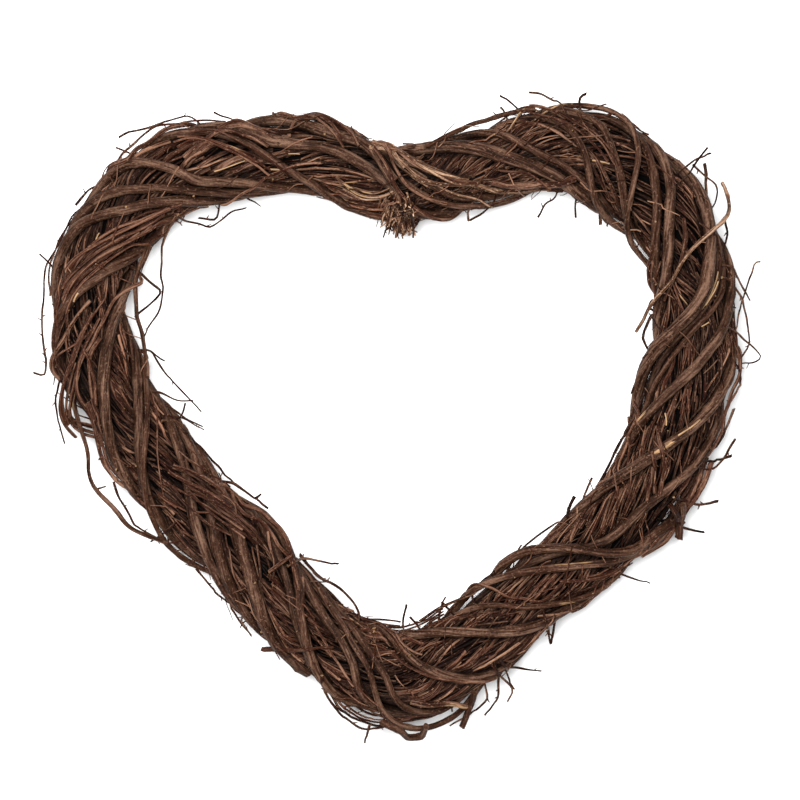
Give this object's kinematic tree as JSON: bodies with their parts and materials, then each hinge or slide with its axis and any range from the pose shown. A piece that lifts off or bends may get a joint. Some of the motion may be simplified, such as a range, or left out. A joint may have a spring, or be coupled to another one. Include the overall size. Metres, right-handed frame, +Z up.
{
  "type": "heart wreath",
  "caption": "Open heart-shaped wreath: a thick ring of fine dark twigs bound by longer vines wound round it, for hanging or laying flat as a base for decoration.",
  "frame": {"origin": "middle of the outline at table height, the wreath lying flat", "axes": "+X to the right lobe, +Y to the notch, +Z up out of the front"},
  "size_m": [0.3572, 0.3306, 0.0442],
  "materials": {
    "bark": "dry grey-brown bark with fine ridges and buds",
    "twig": "dry red-brown twigs, near black in the gaps",
    "light_bark": "lighter tan bark, partly peeled"
  },
  "bodies": {
    "root": {"inner_bundle": "twig", "vine_01_thick": "bark", "vine_02_long": "bark", "vine_03_long": "bark", "vine_04_long": "bark", "vine_05_long": "bark", "vine_06_long": "bark", "vine_07_right": "bark", "vine_08_thick": "bark", "vine_09_thin": "bark", "vine_10_light": "light_bark", "vine_11_thick": "bark", "vine_12_wide": "bark", "vine_13_branchy": "bark", "vine_14_side": "bark", "vine_15_thin": "bark", "vine_16_tip": "bark", "vine_17_tip": "bark", "vine_18_thin": "bark", "vine_19_bundle": "bark", "vine_20_thin": "bark", "notch_vine": "bark", "arch_over_right_lobe": "bark", "light_shoot": "light_bark", "left_inner_loop": "bark", "left_outer_loop": "bark", "tip_loop": "bark", "tip_stub": "bark", "right_stub": "bark"}
  },
  "joints": []
}
